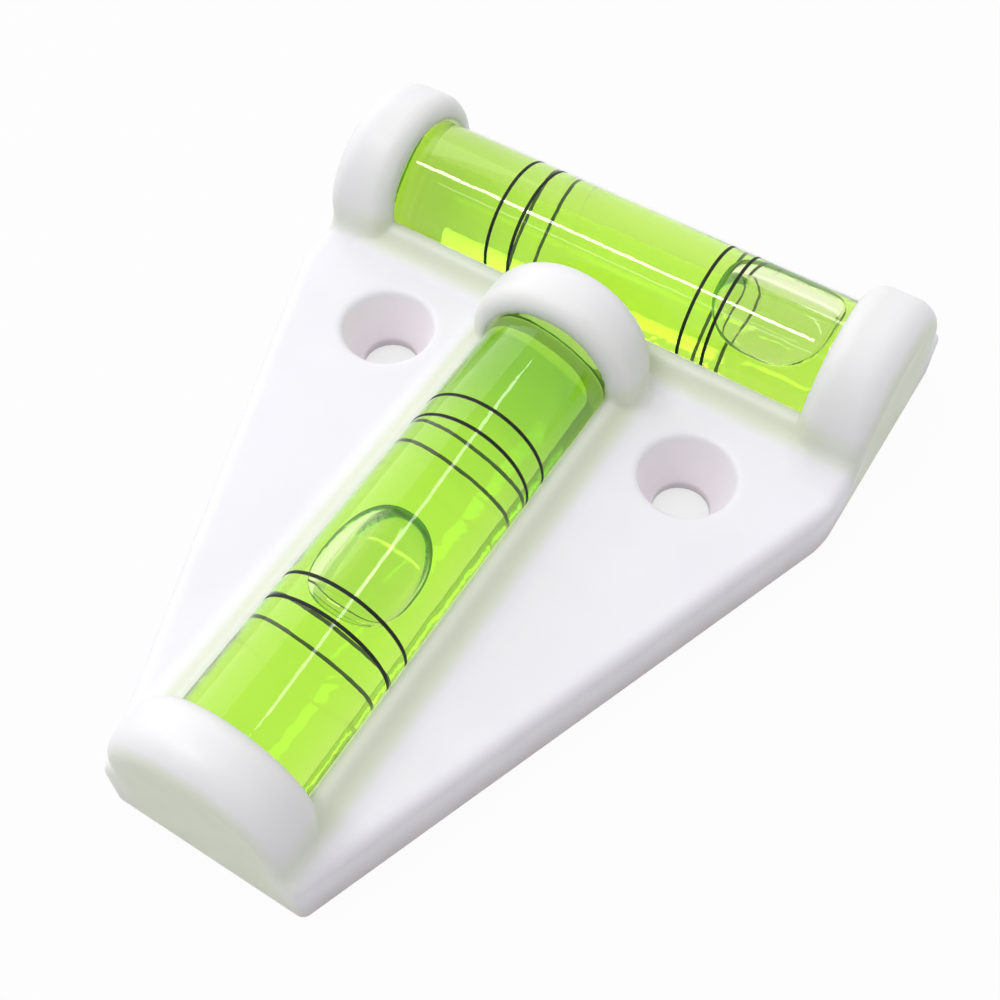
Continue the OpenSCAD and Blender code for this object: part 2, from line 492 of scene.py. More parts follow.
class Graph:
    """A node tree that is filled by expressions.

    Attributes:
        MIX_SHARE: Number of the Mix node's factor, among its inputs.
        MIX_COLOURS: Numbers of its colours.
        MIX_RESULT: Number of the mixed colour, among its outputs.
    """

    MIX_SHARE = 0
    MIX_COLOURS = (6, 7)
    MIX_RESULT = 2

    def __init__(self, tree: bpy.types.NodeTree) -> None:
        """Clears the tree."""
        self.tree = tree
        tree.nodes.clear()

    def node(
        self, kind: str, settings: Mapping | None = None, inputs: Mapping | None = None
    ) -> bpy.types.Node:
        """Adds a node.

        Args:
            kind: Type name of the node.
            settings: Properties to set first.
            inputs: Values or links of its sockets, by name or number.

        Returns:
            The node.
        """
        made = self.tree.nodes.new(kind)
        for name, value in (settings or {}).items():
            setattr(made, name, value)
        for name, value in (inputs or {}).items():
            self.feed(made.inputs[name], value)
        return made

    def feed(self, socket: bpy.types.NodeSocket, value: object) -> None:
        """Links a socket or a number to an input, or sets the input's own value.

        Args:
            socket: The input.
            value: What it gets.
        """
        if isinstance(value, Number):
            value = value.socket
        if isinstance(value, bpy.types.NodeSocket):
            self.tree.links.new(value, socket)
        else:
            socket.default_value = value

    def coordinates(self, kind: str) -> bpy.types.NodeSocket:
        """Coordinates of the shaded point, of one of the kinds that the Texture Coordinate node has."""
        return self.node("ShaderNodeTexCoord").outputs[kind]

    def split(self, vector: bpy.types.NodeSocket) -> list[Number]:
        """The numbers of a vector."""
        return [Number(self, part) for part in self.node("ShaderNodeSeparateXYZ", None, {0: vector}).outputs]

    def place(self) -> list[Number]:
        """Object coordinates of the shaded point, in millimetres."""
        return [value * (1 / MILLIMETRE) for value in self.split(self.coordinates("Object"))]

    def ray(self, kind: str) -> Number:
        """1 for rays of a kind, such as those from the camera."""
        return Number(self, self.node("ShaderNodeLightPath").outputs[f"Is {kind} Ray"])

    def noise(self, scale: float, detail: float) -> Number:
        """Noise on Object coordinates, about 0 to 1, with a scale in steps for each metre."""
        inputs = {"Vector": self.coordinates("Object"), "Scale": scale, "Detail": detail}
        return Number(self, self.node("ShaderNodeTexNoise", None, inputs).outputs[0])

    def mix(self, share: Number, first: object, second: object) -> bpy.types.NodeSocket:
        """Blend of two colours.

        Args:
            share: Share of the second colour.
            first: The first colour, or its socket.
            second: The second colour, or its socket.

        Returns:
            The blend's socket.
        """
        inputs = {self.MIX_SHARE: share}
        for socket, colour in zip(self.MIX_COLOURS, (first, second)):
            inputs[socket] = opaque(colour) if isinstance(colour, tuple) else colour
        return self.node("ShaderNodeMix", {"data_type": "RGBA"}, inputs).outputs[self.MIX_RESULT]

    def bump(self, height: Number, strength: float, distance: float) -> bpy.types.NodeSocket:
        """Normal that follows a height."""
        inputs = {"Height": height, "Strength": strength, "Distance": distance}
        return self.node("ShaderNodeBump", None, inputs).outputs["Normal"]

    def surface(self, shader: bpy.types.Node, volume: bpy.types.NodeSocket | None = None) -> None:
        """Ends a material's tree.

        Args:
            shader: The shader of its surface.
            volume: The shader of its inside, where it has one.
        """
        ends = {"Surface": shader.outputs[0]}
        if volume is not None:
            ends["Volume"] = volume
        self.node("ShaderNodeOutputMaterial", None, ends)


def new_material(name: str) -> tuple[bpy.types.Material, Graph]:
    """An empty node material, whose faint glow is too weak to count as a lamp.

    Args:
        name: Name of the material.

    Returns:
        The material and its graph.
    """
    material = bpy.data.materials.new(name)
    material.use_nodes = True
    material.cycles.emission_sampling = "NONE"
    return material, Graph(material.node_tree)


def opaque(colour: Colour) -> tuple[float, float, float, float]:
    """A colour with full alpha."""
    return (*colour, 1.0)


# Finishes


@dataclass(frozen=True)
class Mottle:
    """Uneven pattern of a finish.

    Attributes:
        scale: Steps for each metre.
        detail: Layers of finer steps.
        low: Noise up to which the pattern is at its least.
        high: Noise from which it is at its most.
    """

    scale: float
    detail: float
    low: float
    high: float

    def spread(self, graph: Graph, least: float = 0.0, most: float = 1.0) -> Number:
        """The pattern as a number from least to most."""
        return graph.noise(self.scale, self.detail).between(self.low, self.high, least, most)


@dataclass(frozen=True)
class MouldedPlastic:
    """White satin plastic with a fine moulded grain, with painted light and shade: the vials' green glow and
    shade beside them, a glow in their channels, and shade at its foot and in its screw holes.

    Borders and reaches are in millimetres, and a pair of them gives where something starts and ends.

    Attributes:
        colour: Base colour.
        shade: Colour of its faint cloudy variation.
        clouds: Pattern of that variation.
        foot: Painted shade: darker base colour at the foot of the sides, where less light reaches them.
        painted_foot_shade_height: Height at which that painted shade has faded.
        painted_green_glow_and_shade: Base colour near a vial: painted green light for the vial's glow through
            the plastic, and painted shade at the rails' feet.
        cap_share: Share of that colour on the caps, which are thicker than the rails.
        cap_heights: Heights between which the caps' share sets in.
        cap_reach: How far a cap covers a vial's end.
        covered_share: Share of the green at a vial's covered end.
        play: Gap between a vial and the wall of its channel, with a little to spare.
        rim_share: Share of the green right at the channel's edge.
        rim_rise: Distance from the channel in which the green grows to its full share.
        rim_fall: Distances from the channel between which the green fades.
        end_rise: Distances past a vial's end between which the green of an end face sets in.
        end_fall: Distances from the channel between which the green of an end face fades.
        green_limit: Distances past a vial's end between which all of its green fades.
        channel_light: Painted glow, given as emission, that stands for the light a vial gathers onto the
            walls of its channel, at its bright end.
        dim_share: Share of that light at a vial's other end.
        bright_from: Share of a vial's half length past which the light is full.
        light_borders: Soft borders of the light, across and along the vial.
        cone: Base colour inside the screw holes' cones, a painted lavender tint that stands for the shade on
            their walls.
        cone_border: Soft border of that colour.
        land: Painted shade: darker base colour inside their straight lands, deep in the holes.
        land_border: Distances past the land's radius between which that colour fades.
        land_heights: Heights between which it fades.
        roughness: Least and most roughness.
        sheen: Pattern of the roughness.
        grain: Steps of the grain for each metre.
        grain_detail: Layers of finer steps in the grain.
        grain_strength: Strength of the grain's bumps.
        grain_height: Height of the grain's bumps, in metres.
        bend: Refractive index.
        glow_share: Share of the light that travels inside.
        glow_colours: How far each colour of it travels, against the others.
        glow_depth: How far it travels, in metres.
    """

    colour: Colour = (0.872, 0.862, 0.908)
    shade: Colour = (0.84, 0.831, 0.872)
    clouds: Mottle = Mottle(90.0, 3.0, 0.35, 0.75)
    foot: Colour = (0.655, 0.61, 0.62)
    painted_foot_shade_height: float = 3.8
    painted_green_glow_and_shade: Colour = (0.735, 0.785, 0.625)
    cap_share: float = 0.3
    cap_heights: Pair = (7.4, 9.4)
    cap_reach: float = 3.7
    covered_share: float = 0.6
    play: float = 0.12
    rim_share: float = 0.5
    rim_rise: float = 1.6
    rim_fall: Pair = (1.7, 3.1)
    end_rise: Pair = (1.2, 2.0)
    end_fall: Pair = (-0.6, 3.42)
    green_limit: Pair = (2.3, 3.6)
    channel_light: Colour = (0.41, 0.42, 0.26)
    dim_share: float = 0.52
    bright_from: float = 0.4
    light_borders: Pair = (0.2, 0.18)
    cone: Colour = (0.93, 0.88, 0.92)
    cone_border: float = 0.4
    land: Colour = (0.70, 0.65, 0.67)
    land_border: Pair = (0.05, 0.25)
    land_heights: Pair = (0.7, 1.3)
    roughness: Pair = (0.40, 0.52)
    sheen: Mottle = Mottle(420.0, 4.0, 0.3, 0.7)
    grain: float = 2600.0
    grain_detail: float = 2.0
    grain_strength: float = 0.06
    grain_height: float = 0.00004
    bend: float = 1.53
    glow_share: float = 0.25
    glow_colours: Colour = (1.0, 1.0, 0.85)
    glow_depth: float = 0.0012

    def painted_hole_shade_masks(self, graph: Graph, holes: ScrewHoles) -> tuple[Number, Number]:
        """Masks of the painted shade in the screw holes' cones and in their straight lands.

        Args:
            graph: The node tree.
            holes: Places and sizes of the holes.

        Returns:
            1 inside each hole's rim and 1 inside its straight land, with soft borders.
        """
        x, y, z = graph.place()
        away = holes.away(x, y)
        cone = away.between(holes.top_radius - self.cone_border, holes.top_radius, 1, 0)
        start, end = self.land_border
        land = away.between(holes.radius + start, holes.radius + end, 1, 0)
        return cone, land * z.between(*self.land_heights, 1, 0)

    def painted_vial_light_masks(self, graph: Graph, vial: VialPlace) -> tuple[Number, Number]:
        """Masks of the painted glow that stands for the light a vial gathers onto its channel's walls, and of
        the painted green light and shade on the plastic beside it.

        Both go by the distance from the vial's axis, which is level below the axis, and by the places along
        and across the vial. The light grows toward the vial's bright end. The green lies on the rails, less
        on the caps, and on the end faces.

        Args:
            graph: The node tree.
            vial: Place of the vial.

        Returns:
            Shares of the painted glow and of the painted green light and shade.
        """
        x, y, height = graph.place()
        side, place, up = vial.local(x, y, height)
        away, run = side.hypotenuse(up.larger(0.0)), place.size()
        bore, half = vial.radius + self.play, vial.half
        across, along = self.light_borders
        lit = away.between(bore, bore + across, 1, 0)
        lit = lit * run.between(half + self.play, half + self.play + along, 1, 0)
        lit = lit * (place * vial.bright_end).between(-half, self.bright_from * half, self.dim_share, 1)
        lit = lit * side.between(-vial.radius, vial.radius, *vial.side_shares)
        rim = away.between(bore, bore + self.rim_rise, self.rim_share, 1)
        rim = rim * away.between(bore + self.rim_fall[0], bore + self.rim_fall[1], 1, 0)
        rim = rim * height.between(*self.cap_heights, 1, self.cap_share)
        rim = rim * run.between(half - self.cap_reach, half, 1, self.covered_share)
        end = run.between(half + self.end_rise[0], half + self.end_rise[1])
        end = end * away.between(bore + self.end_fall[0], bore + self.end_fall[1], 1, 0)
        limit = run.between(half + self.green_limit[0], half + self.green_limit[1], 1, 0)
        return lit, rim.larger(end) * limit

    def material(self, vials: Sequence[VialPlace], holes: ScrewHoles) -> bpy.types.Material:
        """Builds the node material.

        Args:
            vials: Places of the vials that the housing holds.
            holes: Places and sizes of its screw holes.

        Returns:
            The material.
        """
        material, graph = new_material("moulded_white_plastic")
        height = graph.place()[2]
        lights, painted_greens = zip(*(self.painted_vial_light_masks(graph, vial) for vial in vials))
        lit, green = reduce(Number.larger, lights), reduce(Number.larger, painted_greens)
        cone, land = self.painted_hole_shade_masks(graph, holes)
        white = graph.mix(self.clouds.spread(graph), self.colour, self.shade)
        # Painted shade: the base colour darkens toward the foot of the sides.
        white = graph.mix(height.between(0, self.painted_foot_shade_height), self.foot, white)
        # Painted shade in the screw holes: a lavender tint in the cones and a darker colour in the lands.
        white = graph.mix(land, graph.mix(cone, white, self.cone), self.land)
        grain = graph.noise(self.grain, self.grain_detail)
        graph.surface(graph.node("ShaderNodeBsdfPrincipled", {"subsurface_method": "RANDOM_WALK"}, {
            # Painted green light and painted shade on the plastic beside the vials.
            "Base Color": graph.mix(green, white, self.painted_green_glow_and_shade),
            "Roughness": self.sheen.spread(graph, *self.roughness),
            "IOR": self.bend,
            "Subsurface Weight": self.glow_share,
            "Subsurface Radius": self.glow_colours,
            "Subsurface Scale": self.glow_depth,
            # Painted glow on the channels' walls, standing for the light that the vials gather there.
            "Emission Color": graph.mix(lit, BLACK, self.channel_light),
            "Emission Strength": 1.0,
            "Normal": graph.bump(grain, self.grain_strength, self.grain_height),
        }))
        return material


@dataclass(frozen=True)
class Tint:
    """Colour that a clear stuff takes on with depth.

    Attributes:
        kept: Share of each colour that is left after the depth.
        depth: The depth, in metres.
        margin: Density over the fastest rate, so that no colour comes out as nothing.
    """

    kept: Colour
    depth: float
    margin: float = 1.01

    def absorption(self, graph: Graph) -> bpy.types.NodeSocket:
        """Adds the absorption: each colour's rate is the logarithm of its share over the depth.

        Args:
            graph: The node tree.

        Returns:
            The volume's socket.
        """
        taken = [-math.log(share) / self.depth for share in self.kept]
        density = max(taken) * self.margin
        colour = opaque(tuple(1 - value / density for value in taken))
        made = graph.node("ShaderNodeVolumeAbsorption", None, {"Color": colour, "Density": density})
        return made.outputs[0]


@dataclass(frozen=True)
class ClearLayer:
    """A clear surface between two see-through stuffs.

    Attributes:
        name: Name of the material.
        bend: Refractive index inside the surface over that outside it.
        colour: Tint of what passes the surface.
        roughness: Least and most roughness.
        wear: Pattern of the roughness.
        ripple: Height of the faint ripples that moulding leaves, in metres.
        ripple_scale: Steps of the ripples for each metre.
        ripple_detail: Layers of finer steps in them.
        tint: Colour of the stuff inside, or None where it has none.
    """

    name: str
    bend: float
    colour: Colour = WHITE
    roughness: Pair = (0.0, 0.0)
    wear: Mottle = Mottle(700.0, 3.0, 0.45, 0.8)
    ripple: float = 0.0
    ripple_scale: float = 620.0
    ripple_detail: float = 2.0
    tint: Tint | None = None

    def material(self) -> bpy.types.Material:
        """Builds the node material.

        Returns:
            The material.
        """
        material, graph = new_material(self.name)
        shader = graph.node("ShaderNodeBsdfPrincipled", None, {
            "Base Color": opaque(self.colour),
            "Roughness": self.roughness[0],
            "IOR": self.bend,
            "Transmission Weight": 1.0,
        })
        if self.roughness[1] > self.roughness[0]:
            graph.feed(shader.inputs["Roughness"], self.wear.spread(graph, *self.roughness))
        if self.ripple:
            height = graph.noise(self.ripple_scale, self.ripple_detail)
            graph.feed(shader.inputs["Normal"], graph.bump(height, 1.0, self.ripple))
        graph.surface(shader, self.tint.absorption(graph) if self.tint else None)
        return material


@dataclass(frozen=True)
class DyedFluid:
    """Yellow-green fluid in a vial, with painted shade that darkens its surface toward the vial's dim end and
    a painted glow for its fluorescence.

    Attributes:
        kept: Share of each colour that is left after the fluid's full depth.
        thin: Tint of its surface at the bright end, where it carries no painted shade.
        dim_end_shade: Painted shade: tint of its surface at the dim end.
        glow: Colour of a painted glow, given as emission, that stands for the dye's fluorescence.
        glow_strength: Strength of the glow.
        depth: The fluid's full depth, in metres.
        shade_span: Shares of the half length, toward the dim end, between which the painted shade sets in.
        clouds: Pattern that shifts where the painted shade sets in.
        cloud_shift: How far it does, as a share of the half length.
        end_wall: Length of a vial's solid ends, in millimetres.
        end_border: Distances from a solid end between which the painted shade eases again, in millimetres.
        end_share: Share of the painted shade that is left there.
    """

    kept: Colour
    thin: Colour = (0.84, 0.90, 0.75)
    dim_end_shade: Colour = (0.36, 0.54, 0.40)
    glow: Colour = (0.40, 0.80, 0.03)
    glow_strength: float = 0.05
    depth: float = 0.0082
    shade_span: Pair = (0.0, 0.95)
    clouds: Mottle = Mottle(140.0, 2.0, 0.3, 0.7)
    cloud_shift: float = 0.12
    end_wall: float = 2.4
    end_border: Pair = (0.5, 0.1)
    end_share: float = 0.25

    def material(self, vial: VialPlace) -> bpy.types.Material:
        """Builds the node material.

        Args:
            vial: Place of the vial that the fluid is in.

        Returns:
            The material.
        """
        material, graph = new_material(f"{vial.name}_fluid")
        run = vial.local(*graph.place())[1]
        shift = self.clouds.spread(graph, -self.cloud_shift, self.cloud_shift)
        # Painted shade: the fluid's surface darkens toward the vial's dim end, less so near the solid ends.
        share = (run * (-vial.bright_end / vial.half) + shift).between(*self.shade_span)
        wall = vial.half - self.end_wall
        start, end = self.end_border
        share = share * run.size().between(wall - start, wall - end, 1, self.end_share)
        shader = graph.node("ShaderNodeBsdfPrincipled", None, {
            "Base Color": graph.mix(share, self.thin, self.dim_end_shade),
            "Roughness": 0.0,
            "IOR": 1.0,
            "Transmission Weight": 1.0,
            # Painted glow, standing for the dye's fluorescence.
            "Emission Color": opaque(self.glow),
            "Emission Strength": self.glow_strength,
        })
        graph.surface(shader, Tint(self.kept, self.depth).absorption(graph))
        return material


@dataclass(frozen=True)
class LineInk:
    """Near-black satin ink of the marker lines, with a faint mottle.

    Attributes:
        colour: Colour of the ink.
        worn: Colour where it lies thin.
        wear: Pattern of the thin places.
        roughness: Least and most roughness.
        sheen: Pattern of the roughness.
        gloss: Strength of its reflections, where 0.5 is usual.
    """

    colour: Colour = (0.003, 0.006, 0.003)
    worn: Colour = (0.010, 0.018, 0.008)
    wear: Mottle = Mottle(1600.0, 3.0, 0.55, 0.8)
    roughness: Pair = (0.45, 0.65)
    sheen: Mottle = Mottle(1600.0, 3.0, 0.3, 0.7)
    gloss: float = 0.25

    def material(self) -> bpy.types.Material:
        """Builds the node material.

        Returns:
            The material.
        """
        material, graph = new_material("line_ink")
        graph.surface(graph.node("ShaderNodeBsdfPrincipled", None, {
            "Base Color": graph.mix(self.wear.spread(graph), self.colour, self.worn),
            "Roughness": self.sheen.spread(graph, *self.roughness),
            "Specular IOR Level": self.gloss,
        }))
        return material


# Sub-assemblies


@dataclass(frozen=True)
class VialPlace:
    """Where a vial lies, in millimetres.

    Attributes:
        name: Start of the names of its nodes.
        middle: Middle of its axis.
        across: Level direction across it.
        along: Direction along it.
        radius: Radius of its barrel.
        half: Half of its length.
        bright_end: 1 where its end along that direction gets the more light, and -1 where the other does.
        side_shares: Shares of the light on its sides, first against and then along the direction across.
    """

    name: str
    middle: Array
    across: Array
    along: Array
    radius: float
    half: float
    bright_end: int
    side_shares: Pair

    @classmethod
    def read(
        cls, name: str, across: Triple, along: Triple, bright_end: int, side_shares: Pair
    ) -> VialPlace:
        """Takes the place and size of a vial from its barrel in the frame.

        Args:
            name: Start of the names of its nodes.
            across: Level direction across it.
            along: Direction along it.
            bright_end: 1 where its end along that direction gets the more light, or -1.
            side_shares: Shares of the light on its sides.

        Returns:
            The vial's place.
        """
        low, high = (np.array(corner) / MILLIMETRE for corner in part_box(f"{name}_barrel"))
        middle, size = (low + high) / 2, high - low
        axes = np.array(across, float), np.array(along, float)
        return cls(name, middle, *axes, size[2] / 2, abs(size @ axes[1]) / 2, bright_end, side_shares)

    def local(
        self, x: Array | Number, y: Array | Number, z: Array | Number
    ) -> tuple[Array, Array, Array] | tuple[Number, Number, Number]:
        """Places in the vial's own directions, of points or of a shader's coordinates.

        Args:
            x: Places along the frame's first axis.
            y: Places along its second axis.
            z: Heights.

        Returns:
            Places across, along and above the vial's axis.
        """
        dx, dy = x - self.middle[0], y - self.middle[1]
        side = dx * self.across[0] + dy * self.across[1]
        run = dx * self.along[0] + dy * self.along[1]
        return side, run, z - self.middle[2]

    def world(self, points: Array) -> Array:
        """Points given across, along and above the axis, in the frame."""
        axes = np.stack([self.across, self.along, UP])
        return self.middle + points @ axes


@dataclass(frozen=True)
class ScrewHoles:
    """A pair of countersunk holes, in millimetres.

    Attributes:
        spacing: Distance between their middles, across the plate.
        y: Place of both along the plate.
        radius: Radius of the straight land.
        top_radius: Radius of the cone at the plate's top.
    """

    spacing: float
    y: float
    radius: float
    top_radius: float

    def away(self, x: Number, y: Number) -> Number:
        """Distance of a shader's point from the nearer hole's middle."""
        return (x.size() - self.spacing / 2).hypotenuse(y - self.y)


@dataclass
class Housing:
    """White moulded housing: a keystone plate, round caps and rails round two crossed channels.

    Attributes:
        cross: Place of the cross vial.
        stem: Place of the stem vial.
        low: Lowest corner of the housing.
        high: Highest corner of the housing.
        thickness: Height of the plate's top.
        nose_ledge: How far the plate stands out beside the nose's cap.
        shoulder_run: Length of the straight sides in front of the cross cradle.
        edge_radius: Rounding of the plate's upper edge.
        corner_radius: Rounding of the outline's corners.
        end_radius: Rounding of the caps' outer ends.
        window_radius: Rounding of the caps' edges at the windows.
        clearance: Gap between a vial and its channel.
        wall: Thickness of the caps.
        cap_grip: How far a cap covers a vial's end.
        nose_grip: How far the nose's cap does.
        rear_cap_length: Length of the stem's rear cap.
        rail_height: Height of the rails above the plate.
        rail_top: Width of the rails' tops.
        rail_edge: Rounding of their edges.
        rail_foot: How far their feet stand out past the caps' sides.
        cove: Radius of the coves where caps and rails meet the plate.
        deck: Thickness of the plate above the pockets.
        skirt: Thickness of the plate's outer wall.
        rib: Thickness of the ribs to the screw bosses.
        hole_spacing: Distance between the screw holes' middles.
        hole_setback: Distance of the holes from the cross cradle.
        hole_radius: Radius of their straight lands.
        countersink_radius: Radius of their cones at the top.
        hole_land: Height of the straight lands.
        hole_rim: Rounding of the holes' rims.
        boss_wall: Thickness of the bosses round the holes.
        ridge_reach: How far the ridges stand into a channel.
        ridge_radius: Radius of the ridges.
        ridge_length: Length of the ridges.
        cut_edge: Rounding of the edges of channels and pockets.
        foot_edge: Rounding of the edges at the foot.
        pocket_radius: Rounding inside the pockets.
        mesher: What turns the field into a mesh.
    """

    cross: VialPlace
    stem: VialPlace
    low: Array
    high: Array
    thickness: float = 5.5
    nose_ledge: float = 0.85
    shoulder_run: float = 3.9
    edge_radius: float = 1.1
    corner_radius: float = 0.45
    end_radius: float = 2.4
    window_radius: float = 1.6
    clearance: float = 0.1
    wall: float = 1.9
    cap_grip: float = 3.7
    nose_grip: float = 3.0
    rear_cap_length: float = 5.7
    rail_height: float = 1.7
    rail_top: float = 1.0
    rail_edge: float = 0.3
    rail_foot: float = 0.4
    cove: float = 1.2
    deck: float = 2.0
    skirt: float = 1.8
    rib: float = 1.2
    hole_spacing: float = 28.0
    hole_setback: float = 7.0
    hole_radius: float = 2.3
    countersink_radius: float = 3.9
    hole_land: float = 1.1
    hole_rim: float = 0.35
    boss_wall: float = 2.4
    ridge_reach: float = 0.4
    ridge_radius: float = 0.9
    ridge_length: float = 8.0
    cut_edge: float = 0.22
    foot_edge: float = 0.4
    pocket_radius: float = 0.5
    mesher: FieldMesher = FieldMesher(cell=0.315)

    @property
    def channel_radius(self) -> float:
        """Radius of the channels round the vials."""
        return self.cross.radius + self.clearance

    @property
    def cap_radius(self) -> float:
        """Outer radius of the caps."""
        return self.channel_radius + self.wall

    @property
    def cross_front(self) -> float:
        """Place of the cross cradle's front."""
        return self.cross.middle[1] - self.cap_radius

    @property
    def hole_y(self) -> float:
        """Place of the screw holes along the plate."""
        return self.cross_front - self.hole_setback

    @property
    def holes(self) -> ScrewHoles:
        """Places and sizes of the screw holes."""
        return ScrewHoles(self.hole_spacing, self.hole_y, self.hole_radius, self.countersink_radius)

    def outline(self, x: Array, y: Array, inset: float, radius: float | Array) -> Array:
        """Distance to the keystone outline: nose, sloping sides, straight sides and back, corners rounded.

        Args:
            x: Places across the plate.
            y: Places along the plate.
            inset: How far the outline is drawn in.
            radius: Rounding of its corners.

        Returns:
            Signed distance, negative inside.
        """
        side = np.abs(x)
        nose_half = self.cap_radius + self.nose_ledge
        half = self.high[0]
        shoulder = self.cross_front - self.shoulder_run
        run = np.array([half - nose_half, shoulder - self.low[1]])
        run = run / np.linalg.norm(run)
        slope = (side - nose_half) * run[1] - (y - self.low[1]) * run[0]
        ends = np.maximum(self.low[1] - y, y - self.high[1])
        flanks = round_both(slope + inset, side - half + inset, radius)
        return round_both(flanks, ends + inset, radius)

    def arch(self, side: Array, up: Array, radius: float) -> Array:
        """Distance to a round arch above the axis on straight walls below it."""
        return np.hypot(side, np.maximum(up, 0)) - radius

    def cradle(self, vial: VialPlace, window: Pair, rear: float | None, spot: Spot) -> Array:
        """Distance to the caps and rails of one vial.

        The caps are arches that end at the window and, at the rear, at a given place. The rails are strips
        with sloping outer sides and flat tops, along the window.

        Args:
            vial: Place of the vial.
            window: First and last end of its window, along the vial.
            rear: End of the last cap, or None where the plate's edge ends it.
            spot: Places across, along and above the plate.

        Returns:
            Signed distance, before the channel is cut.
        """
        side, run, up = vial.local(*spot)
        arch = self.arch(side, up, self.cap_radius)
        first = round_both(arch, run - window[0], self.window_radius)
        last = round_both(arch, window[1] - run, self.window_radius)
        if rear is not None:
            last = round_both(last, run - rear, self.end_radius)
        foot = np.array([self.cap_radius + self.rail_foot, self.thickness])
        crest = np.array([self.channel_radius + self.rail_top, self.thickness + self.rail_height])
        lean = (crest - foot) / np.linalg.norm(crest - foot)
        slope = (np.abs(side) - foot[0]) * lean[1] - (spot[2] - foot[1]) * lean[0]
        rails = round_both(slope, spot[2] - crest[1], self.rail_edge)
        reach = self.window_radius
        rails = np.maximum(rails, np.maximum(window[0] - reach - run, run - window[1] - reach))
        return np.minimum(np.minimum(first, last), rails)

    def channel(self, vial: VialPlace, window: Pair, spot: Spot) -> Array:
        """Distance to the space for a vial: an arched channel, open below, with its window above.

        Args:
            vial: Place of the vial.
            window: First and last end of its window, along the vial.
            spot: Places across, along and above the plate.

        Returns:
            Signed distance.
        """
        side, run, up = vial.local(*spot)
        ends = np.abs(run) - vial.half - self.clearance
        tunnel = np.maximum(self.arch(side, up, self.channel_radius), ends)
        opening = np.maximum(np.abs(side) - self.channel_radius, -up)
        opening = np.maximum(opening, np.maximum(window[0] - run, run - window[1]))
        return np.minimum(tunnel, opening)

    def ridges(self, vial: VialPlace, spot: Spot) -> Array:
        """Distance to the round ridges that hold a vial from below, near both of its ends.

        Args:
            vial: Place of the vial.
            spot: Places across, along and above the plate.

        Returns:
            Signed distance.
        """
        side, run, up = vial.local(*spot)
        reach = self.channel_radius + self.ridge_radius - self.ridge_reach
        clear = vial.radius + self.ridge_radius + self.clearance
        drop = math.sqrt(clear * clear - reach * reach)
        bead = np.hypot(np.abs(side) - reach, up + drop) - self.ridge_radius
        end = vial.half + self.clearance
        span = np.maximum(np.abs(run) - end, end - self.ridge_length - np.abs(run))
        return round_both(bead, span, self.cut_edge)

    def hole_distance(self, spot: Spot) -> Array:
        """Distance from the nearer screw hole's axis."""
        return np.hypot(np.abs(spot[0]) - self.hole_spacing / 2, spot[1] - self.hole_y)

    def pockets(self, spot: Spot) -> Array:
        """Distance to the hollows under both wings, less the walls, the ribs and the screw bosses.

        Args:
            spot: Places across, along and above the plate.

        Returns:
            Signed distance.
        """
        x, y, z = spot
        shape = self.outline(x, y, self.skirt, self.pocket_radius)
        walls = (
            self.cap_radius - np.abs(x),
            y - self.cross_front,
            self.rib / 2 - np.abs(y - self.hole_y),
            self.hole_radius + self.boss_wall - self.hole_distance(spot),
        )
        for wall in walls:
            shape = round_both(shape, wall, self.pocket_radius)
        return round_both(shape, z - self.thickness + self.deck, self.pocket_radius)

    def screw_holes(self, spot: Spot) -> Array:
        """Distance to both holes: a straight land and a cone that opens to the plate's top.

        Args:
            spot: Places across, along and above the plate.

        Returns:
            Signed distance.
        """
        slope = (self.countersink_radius - self.hole_radius) / (self.thickness - self.hole_land)
        radius = self.hole_radius + slope * np.maximum(spot[2] - self.hole_land, 0)
        return (self.hole_distance(spot) - radius) / math.hypot(1, slope)

    def solid(self, spot: Spot) -> Array:
        """Distance field of the whole housing.

        The caps and rails stand on the plate's top with a cove. All of it is bounded by the outline, whose
        edge rounding grows from the plate's to that of the caps' ends. The channels, pockets and holes are
        cut out.

        Args:
            spot: Places across, along and above the plate.

        Returns:
            Signed distance, negative inside.
        """
        x, y, z = spot
        half = self.cross.half
        cross_window = (self.cap_grip - half, half - self.cap_grip)
        stem_window = (self.nose_grip - half, half - self.cap_grip)
        rear = stem_window[1] + self.rear_cap_length
        body = np.minimum(
            self.cradle(self.cross, cross_window, None, spot),
            self.cradle(self.stem, stem_window, rear, spot),
        )
        body = round_either(body, z - self.thickness, self.cove)
        rise = ramp(z, self.cross.middle[2], self.high[2])
        rounding = self.edge_radius + (self.end_radius - self.edge_radius) * rise
        body = round_both(body, self.outline(x, y, 0, self.corner_radius), rounding)
        cuts = (
            self.channel(self.cross, cross_window, spot),
            self.channel(self.stem, stem_window, spot),
            self.pockets(spot),
        )
        for cut in cuts:
            body = round_both(body, -cut, self.cut_edge)
        body = round_both(body, -self.screw_holes(spot), self.hole_rim)
        for vial in (self.cross, self.stem):
            body = np.minimum(body, self.ridges(vial, spot))
        return round_both(body, -z, self.foot_edge)

    def build(self, plastic: MouldedPlastic) -> bpy.types.Object:
        """Meshes the field, and puts the piece in the place of the frame's housing.

        Args:
            plastic: Its finish.

        Returns:
            The piece.
        """
        material = plastic.material((self.cross, self.stem), self.holes)
        points, quads = self.mesher.mesh(self.solid, self.low, self.high)
        piece = make_piece("white_housing", [Shell(points, quads.tolist())], [material])
        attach(piece, LEVEL_BODY)
        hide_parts("housing")
        return piece


